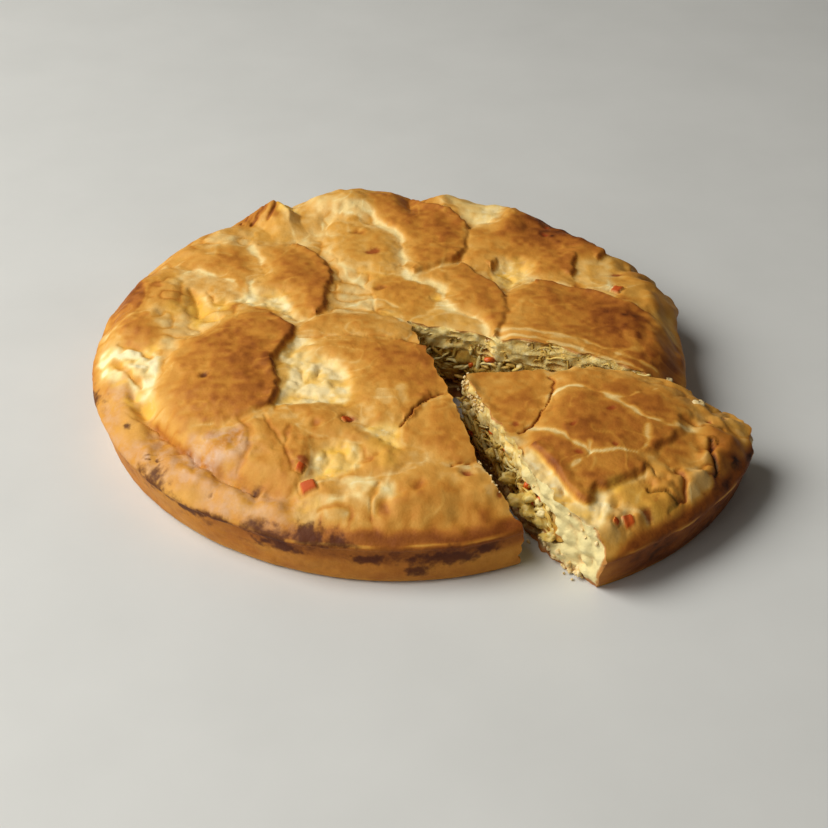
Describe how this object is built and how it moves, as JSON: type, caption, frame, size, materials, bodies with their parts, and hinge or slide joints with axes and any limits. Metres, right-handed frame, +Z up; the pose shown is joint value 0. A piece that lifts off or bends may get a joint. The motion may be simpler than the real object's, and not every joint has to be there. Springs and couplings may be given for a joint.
{
  "type": "chicken and cream cheese pie",
  "caption": "Round savoury pie with a blistered golden batter crust over shredded chicken and cream cheese, one slice drawn part of the way out.",
  "frame": {"origin": "middle of the pie's round foot, on the surface that it rests on", "axes": "+Z up; +X to the right and +Y away, as the pie is seen with its cut-out slice at the near right"},
  "size_m": [0.2568, 0.2429, 0.0392],
  "materials": {
    "baked_crust": "golden brown baked batter, satin where the skin is thin, soft and pale yellow where it is cut or torn",
    "chicken_filling": "moist pale yellow shredded chicken and cream cheese with bits of carrot"
  },
  "bodies": {
    "root": {"pie_crust": "baked_crust", "slice_crust": "baked_crust", "pie_filling": "chicken_filling", "slice_filling": "chicken_filling"}
  },
  "joints": []
}
